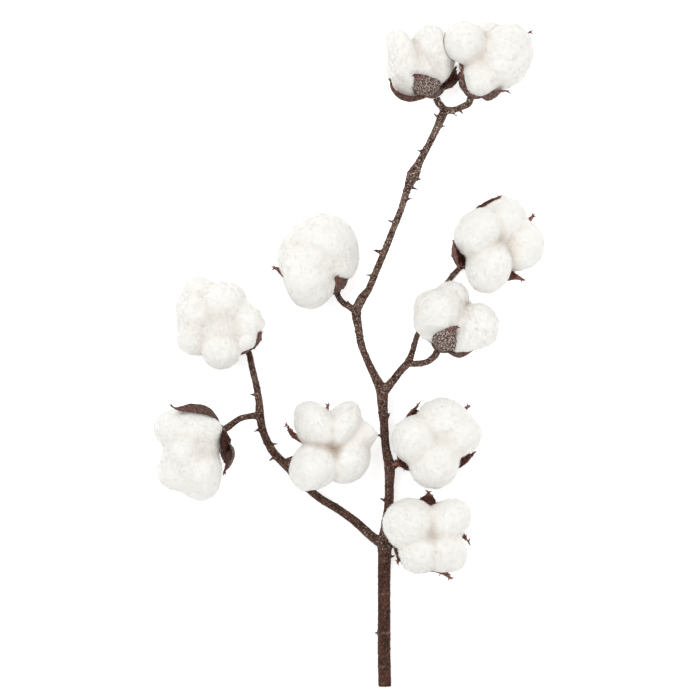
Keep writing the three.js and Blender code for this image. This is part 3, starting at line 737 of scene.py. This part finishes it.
def carpel(entry, look, rng):
    """A carpel in its boll's frame with its thorns, each with its paint."""
    angle, spread, rise, breadth, flare, sweep = entry
    line = [
        ((d if k == 0 else d * spread) + flare * bend, sweep * bend, h if k < 2 else h * rise)
        for k, ((d, h), bend) in enumerate(zip(CARPEL_LINE, CARPEL_BEND))
    ]
    points, _, lengths = evenly(*spline(line), count=CARPEL_ROWS)
    share = lengths / lengths[-1]
    along = unit(np.gradient(points, axis=0))
    across = np.array([0.0, 1.0, 0.0])
    inward = np.cross(along, across)
    half = np.interp(share, *zip(*CARPEL_OUTLINE)) * breadth
    v = np.linspace(-1, 1, CARPEL_COLUMNS + 1)
    seed = rng.integers(1, 50)
    u_grid, v_grid = np.meshgrid(share, v, indexing="ij")
    h_grid = half[:, None] * np.ones_like(v_grid)
    edge_places = np.stack([u_grid * WAVES_ALONG, np.sign(v_grid), 0 * v_grid], -1).reshape(-1, 3)
    wavy = 1 + EDGE_WAVES * noise(edge_places, 1, seed)
    side = v_grid * h_grid * wavy.reshape(v_grid.shape)
    thick = CARPEL_EDGE + (CARPEL_MIDDLE - CARPEL_EDGE) * (1 - np.abs(v_grid) ** 2.5)
    thick = np.minimum(thick, 0.35 + 1.1 * h_grid)
    ribs = RIB_HEIGHT * np.cos(v_grid * RIBS * np.pi / 2) * np.sin(np.pi * u_grid)
    midrib = MIDRIB_HEIGHT * np.exp(-(v_grid / MIDRIB_WIDTH) ** 2)
    midrib = midrib * np.sin(np.pi * np.clip(u_grid * 1.1, 0, 1))
    layers = []
    for back, lift in ((thick / 2 + ribs + midrib, -1), (thick / 2, 1)):
        depth = v_grid ** 2 * CARPEL_CUP * h_grid + lift * back
        place = points[:, None] + across * side[..., None] + inward[:, None] * depth[..., None]
        crumple = noise(place.reshape(-1, 3), CRUMPLE_SIZE, seed + 1).reshape(side.shape)
        place = place + inward[:, None] * (CRUMPLE * crumple * np.sin(np.pi * u_grid))[..., None]
        layers.append(place)
    rows, columns = len(share), len(v)
    outer = np.arange(rows * columns).reshape(rows, columns)
    inner = outer + rows * columns
    faces = []
    for grid, flip in ((outer, True), (inner, False)):
        a, b, c, d = grid[:-1, :-1], grid[1:, :-1], grid[1:, 1:], grid[:-1, 1:]
        for corners in ((a, b, c), (a, c, d)):
            triangles = np.stack([x.reshape(-1) for x in corners], axis=1)
            faces.append(triangles[:, ::-1] if flip else triangles)
    rim = np.concatenate([outer[:, 0], outer[-1, 1:], outer[-2::-1, -1], outer[0, -2:0:-1]])
    rim_in = rim + rows * columns
    after, after_in = np.roll(rim, -1), np.roll(rim_in, -1)
    faces.append(np.stack([rim, after, after_in], axis=1))
    faces.append(np.stack([rim, after_in, rim_in], axis=1))
    verts = np.vstack([layer.reshape(-1, 3) for layer in layers])
    u_all = np.tile(np.repeat(share, columns), 2)
    v_all = np.tile(np.tile(v, rows), 2)
    dark_tone_and_shade, frost = look
    near_tip = np.clip((u_all - 0.7) / 0.15, 0, 1)
    paint = {
        "inner": np.repeat([0.0, 1.0], rows * columns),
        "tip": np.clip((u_all - 0.62) / 0.2, 0, 1),
        "edge": np.clip((np.abs(v_all) - 0.75) / 0.25, 0, 1),
        "dark_tone_and_shade": np.full(len(verts), dark_tone_and_shade),
        "frost": frost * np.repeat([1.0, 0.6], rows * columns) * (1 - 0.6 * near_tip),
        "along": u_all * lengths[-1] + 7 * seed,
        "across": v_all * np.tile(np.repeat(half, columns), 2),
    }
    parts = [(verts, np.vstack(faces), paint)]
    for place, edge in SIDE_THORNS:
        row = round(place * (rows - 1)) + rng.integers(-1, 2)
        column = -1 if edge > 0 else 0
        start = (verts[outer[row, column]] + verts[inner[row, column]]) / 2
        heading = unit(
            along[row] * rng.uniform(0.3, 1.2) + across * edge - inward[row] * rng.uniform(-0.1, 0.6)
        )
        length = rng.uniform(1.3, 2.8) * (WORN_SHARE if frost > WEATHERED else 1)
        start = start - heading * THORN_ROOT
        parts.append(thorn(start, heading, length, THORN_RADIUS, look, inward[row], rng))
    for turn, lean, length in TIP_SPIKES:
        turn += rng.uniform(-0.2, 0.2)
        lean += rng.uniform(-0.2, 0.35)
        heading = unit(along[-1] + across * math.tan(turn) - inward[-1] * lean)
        start = points[-1] - along[-1] * SPIKE_ROOT
        parts.append(thorn(start, heading, length, SPIKE_RADIUS, look, inward[-1], rng))
    return [(p @ spin(angle).T, f, w) for p, f, w in parts]


def receptacle():
    """The cup under the carpels, faintly five-sided, with its paint."""
    profile, _ = spline([(r, 0, h) for r, h in RECEPTACLE[1:-1]], per_span=5)
    angle = np.arange(RECEPTACLE_SIDES) * 2 * np.pi / RECEPTACLE_SIDES
    wobble = 1 + 0.05 * np.cos(5 * angle)
    rings = [
        np.stack([r * wobble * np.cos(angle), r * wobble * np.sin(angle), np.full(len(angle), h)], axis=1)
        for r, _, h in profile
    ]
    verts = np.vstack([*rings, [(0, 0, RECEPTACLE[0][1])], [(0, 0, RECEPTACLE[-1][1])]])
    zero = np.zeros(len(verts))
    paint = {"inner": zero, "tip": zero, "edge": zero + 0.4, "dark_tone_and_shade": zero, "frost": zero + 0.4,
             "along": verts[:, 0], "across": verts[:, 1]}
    return verts, ring_faces(len(profile), RECEPTACLE_SIDES), paint


def burr(boll, looks, rng):
    """A boll's receptacle and carpels in the stem's frame, with their paint."""
    parts = [receptacle()]
    for entry, look in itertools.zip_longest(boll["carpels"], looks, fillvalue=PLAIN):
        parts += carpel(entry, look, rng)
    turn, base = seat(boll)
    points, faces = merged([(p @ turn.T + base, f) for p, f, _ in parts])
    points[:, 2] = np.clip(points[:, 2], FLOOR_GAP, HUSK_TOP)
    paint = {key: np.concatenate([w[key] for _, _, w in parts]) for key in parts[0][2]}
    return points, faces, paint


solids = [(wood_points, wood_faces)]
for number, (name, boll) in enumerate(BOLLS.items()):
    rng = np.random.default_rng(HUSK_SEED + number)
    points, faces, paint = burr(boll, CARPEL_LOOKS.get(name, ()), rng)
    make_piece(f"boll_{name}_husk", points, faces, BURR, "burr", f"boll_{name}_burr", paint)
    solids.append((points, faces))


# Lint: a tuft drawn out to its locks, pressed in where the burr, a stalk or another tuft holds it

BALL_FREQUENCY = 42
LINT_GAP = 0.3  # between the lint and what holds it
LINT_FLOOR_GAP = 0.03
LINT_LUMPS = ((0.75, 11), (0.35, 5), (0.16, 2.2))  # height and size of its unevenness
PRESS_SLOPE = 0.8  # how steeply a dent's sides rise
PRESS_STEP = 0.75  # how far apart the lint's points are taken to be
PRESS_ROUNDS, PRESS_SOFT_ROUNDS = 14, 4
CREASE_DEEP = 1.5  # how far a place lies under the lint around it where its painted crease shade is full
CREASE_AROUND, CREASE_SOFT = 60, 6  # rounds of smoothing, for the lint around and for the painted crease shade
USUAL_MOUTH = 0.15
MOUTH_REACH, MOUTH_SPAN = 19.0, 5  # nearer the tuft's middle than this, over this, the lint is darkened with painted shade
MOUTH_SOFT = 3
DIRECTIONS, BALL_FACES, NEAR = ball(BALL_FREQUENCY)


def lock_reach(lock):
    """How far rays from the tuft's middle run before they leave a lock, or 0 where they miss it."""
    angle, distance, height, across, outward, along = lock
    shrink = 1 / np.array([outward, across, along], float)
    origin = np.array([-distance, 0, LINT_HEART - height]) * shrink
    ray = (DIRECTIONS @ spin(-angle).T) * shrink
    steepness = (ray ** 2).sum(axis=1)
    nearing = ray @ origin
    inside = nearing ** 2 - steepness * ((origin ** 2).sum() - 1)
    return np.where(inside < 0, 0, np.maximum(0, (np.sqrt(np.maximum(inside, 0)) - nearing) / steepness))


def smoothed(values, rounds):
    """Values over the tuft, each round half way to the mean of their neighbours."""
    for _ in range(rounds):
        values = (values + values[NEAR].mean(axis=1)) / 2
    return values


def pressed(depth):
    """Spreads a dent's depth outward at a slope, then softens it, without filling the dent."""
    spread = depth.copy()
    for _ in range(PRESS_ROUNDS):
        spread = np.maximum(spread, spread[NEAR].max(axis=1) - PRESS_SLOPE * PRESS_STEP)
    for _ in range(PRESS_SOFT_ROUNDS):
        spread = np.maximum(depth, 0.5 * spread + 0.5 * spread[NEAR].mean(axis=1))
    return spread


def lint(boll, trees, seed):
    """A tuft's points, their paint (painted shade in the creases and deep in the mouth) and how far each is
    pressed in.
    """
    turn, base = seat(boll)
    reaches = np.stack([lock_reach(lock) for lock in (LINT_CORE, *boll["locks"])])
    radius = (reaches ** LINT_BLEND).sum(axis=0) ** (1 / LINT_BLEND)
    radius = smoothed(radius, boll["soft"])
    # how deep each place lies under the lint around it, which sets the painted crease shade
    sunk = smoothed(radius, CREASE_AROUND) - radius
    crease_shade = smoothed(np.clip(sunk / CREASE_DEEP, 0, 1), CREASE_SOFT)
    place = DIRECTIONS * radius[:, None]
    radius = radius + sum(
        lump * noise(place, size, seed + k) for k, (lump, size) in enumerate(LINT_LUMPS)
    )
    rays = DIRECTIONS @ turn.T
    heart = base + turn[:, 2] * LINT_HEART
    allowed = radius.copy()
    start = Vector(heart)
    for k, (ray, reach) in enumerate(zip(rays.tolist(), radius.tolist())):
        for tree in trees:
            distance = tree.ray_cast(start, ray, reach + LINT_GAP)[3]
            if distance is not None:
                allowed[k] = min(allowed[k], distance - LINT_GAP)
    down = rays[:, 2] < -1e-3
    allowed[down] = np.minimum(allowed[down], (heart[2] - 0.05) / -rays[down, 2])
    depth = pressed(radius - allowed)
    radius = radius - depth
    points = heart + rays * radius[:, None]
    points[:, 2] = np.maximum(points[:, 2], LINT_FLOOR_GAP)
    # painted shade deep between the locks, darker the nearer the tuft's middle
    mouth_shade = boll.get("mouth_shade", USUAL_MOUTH) * np.clip((MOUTH_REACH - radius) / MOUTH_SPAN, 0, 1)
    return points, {"crease_shade": crease_shade, "mouth_shade": smoothed(mouth_shade, MOUTH_SOFT)}, depth


def tree_of(points, faces):
    return BVHTree.FromPolygons(points.tolist(), faces.tolist())


# Loose fibres that stand a little off the lint

# Kinds of fibre: how many, points on each, least and most length, lift at the tip, curl, radius
DOWN = (3200, 3, 2.0, 5.0, 1.3, 0.5, 0.085)
STRANDS = (420, 5, 5.0, 12.0, 2.0, 0.3, 0.05)
FIBRE_SEED = 500
FIBRE_SIDES = 3
ROOT_DEPTH = 0.2  # how far inside the lint a fibre starts
MOST_PRESSED = 0.2  # no fibre starts where the lint is pressed in further than this
LOWEST_ROOT = 1.0


def fibres(kind, points, faces, depth, tree, rng):
    """Thin closed strands, each from inside the lint along its surface and then off it."""
    count, steps, shortest, longest, lift, curl, thick = kind
    corners = points[faces]
    cross = np.cross(corners[:, 1] - corners[:, 0], corners[:, 2] - corners[:, 0])
    area = np.linalg.norm(cross, axis=1)
    area = area * (depth[faces].max(axis=1) < MOST_PRESSED) * (corners[:, :, 2].min(axis=1) > LOWEST_ROOT)
    picked = rng.choice(len(faces), count, p=area / area.sum())
    weights = rng.dirichlet((1, 1, 1), count)
    starts = np.einsum("ij,ijk->ik", weights, corners[picked])
    normals = unit(cross[picked])
    ways = rng.normal(size=(count, 3))
    ways = unit(ways - normals * (ways * normals).sum(axis=1, keepdims=True))
    lengths = rng.uniform(shortest, longest, count)
    lifts = rng.uniform(0.15, 1.0, count) ** 2 * lift
    curls = rng.normal(0, curl, count)
    lines = np.zeros((count, steps, 3))
    lines[:, 0] = starts - normals * ROOT_DEPTH
    for k in range(count):
        spot, way = starts[k], ways[k]
        for step in range(1, steps):
            found, facing, _, _ = tree.find_nearest(Vector(spot + way * lengths[k] / (steps - 1)))
            spot, normal = np.array(found), np.array(facing)
            way = unit(way - normal * (way @ normal))
            way = unit(way + np.cross(normal, way) * curls[k])
            lines[k, step] = spot + normal * (0.05 + lifts[k] * (step / (steps - 1)) ** 1.6)
    along = unit(np.gradient(lines, axis=1))
    across = unit(np.cross(along, np.array([0.31, 0.52, 0.79])))
    over = np.cross(along, across)
    radii = thick * np.concatenate([[0], np.linspace(1, 0.6, steps - 2), [0]])[None, :, None]
    angles = np.arange(FIBRE_SIDES) * 2 * np.pi / FIBRE_SIDES
    rings = [lines + radii * (math.cos(t) * across + math.sin(t) * over) for t in angles]
    body = np.stack(rings, axis=2)[:, 1:-1].reshape(count, -1, 3)
    verts = np.concatenate([body, lines[:, :1], lines[:, -1:]], axis=1)
    offsets = np.arange(count) * verts.shape[1]
    verts = verts.reshape(-1, 3)
    verts[:, 2] = np.maximum(verts[:, 2], FLOOR_GAP)
    one = ring_faces(steps - 2, FIBRE_SIDES)
    return verts, (one[None] + offsets[:, None, None]).reshape(-1, 3)


NEIGHBOUR_REACH = 90  # tufts further apart than this can't touch
LINT_SEED_STEP = 10

woody = tree_of(*merged(solids))
tufts = []
for number, (name, boll) in enumerate(BOLLS.items()):
    turn, base = seat(boll)
    heart = base + turn[:, 2] * LINT_HEART
    near = [tree for middle, tree in tufts if np.linalg.norm(middle - heart) < NEIGHBOUR_REACH]
    points, paint, depth = lint(boll, [woody, *near], LINT_SEED_STEP * number + 1)
    make_piece(f"boll_{name}_cotton", points, BALL_FACES, LINT, "lint", f"boll_{name}_lint", paint)
    skin = tree_of(points, BALL_FACES)
    tufts.append((heart, skin))
    rng = np.random.default_rng(FIBRE_SEED + number)
    strands = merged([fibres(kind, points, BALL_FACES, depth, skin, rng) for kind in (DOWN, STRANDS)])
    make_piece(f"boll_{name}_fibres", *strands, FIBRE, "lint")


# Floor, light and camera, in metres

FLOOR_REACH = 6.0
FLOOR_GLOW = 0.5
SKY_GLOW = 0.58
WHITE = (1, 1, 1, 1)


def floor():
    mesh = bpy.data.meshes.new("floor")
    corners = [(x * FLOOR_REACH, y * FLOOR_REACH, 0) for x, y in ((-1, -1), (1, -1), (1, 1), (-1, 1))]
    mesh.from_pydata(corners, [], [(0, 1, 2, 3)])
    material, shader = new_material("floor", Roughness=0.9)
    shader.inputs["Base Color"].default_value = (0.93, 0.93, 0.93, 1)
    shader.inputs["Specular IOR Level"].default_value = 0.1
    shader.inputs["Emission Color"].default_value = WHITE
    shader.inputs["Emission Strength"].default_value = FLOOR_GLOW
    mesh.materials.append(material)
    plane = bpy.data.objects.new("floor", mesh)
    bpy.context.scene.collection.objects.link(plane)


def lamp(name, place, size, power):
    """A soft square light that faces the stem's middle."""
    data = bpy.data.lights.new(name, "AREA")
    data.shape = "SQUARE"
    data.size = size
    data.energy = power
    light = bpy.data.objects.new(name, data)
    light.location = place
    light.rotation_mode = "QUATERNION"
    light.rotation_quaternion = (-Vector(place)).to_track_quat("-Z", "Y")
    light.visible_camera = False
    bpy.context.scene.collection.objects.link(light)


floor()
lamp("key", (-0.75, 0.9, 2.5), 1.4, 35)
lamp("fill", (1.3, -0.6, 2.1), 1.8, 15)
world = bpy.data.worlds.new("studio")
world.use_nodes = True
world.node_tree.nodes["Background"].inputs["Color"].default_value = WHITE
world.node_tree.nodes["Background"].inputs["Strength"].default_value = SKY_GLOW
bpy.context.scene.world = world

camera_data = bpy.data.cameras.new("camera")
camera_data.lens = LENS
camera_data.sensor_width = SENSOR
camera_data.clip_start, camera_data.clip_end = CLIP_NEAR, CLIP_FAR
distance = MM_PER_PIXEL * PICTURE_SIDE * LENS / SENSOR
camera = bpy.data.objects.new("camera", camera_data)
camera.location = (VIEW_CENTRE[0] * MM, VIEW_CENTRE[1] * MM, (VIEW_HEIGHT + distance) * MM)
bpy.context.scene.collection.objects.link(camera)
bpy.context.scene.camera = camera
bpy.context.scene.view_settings.view_transform = "Standard"
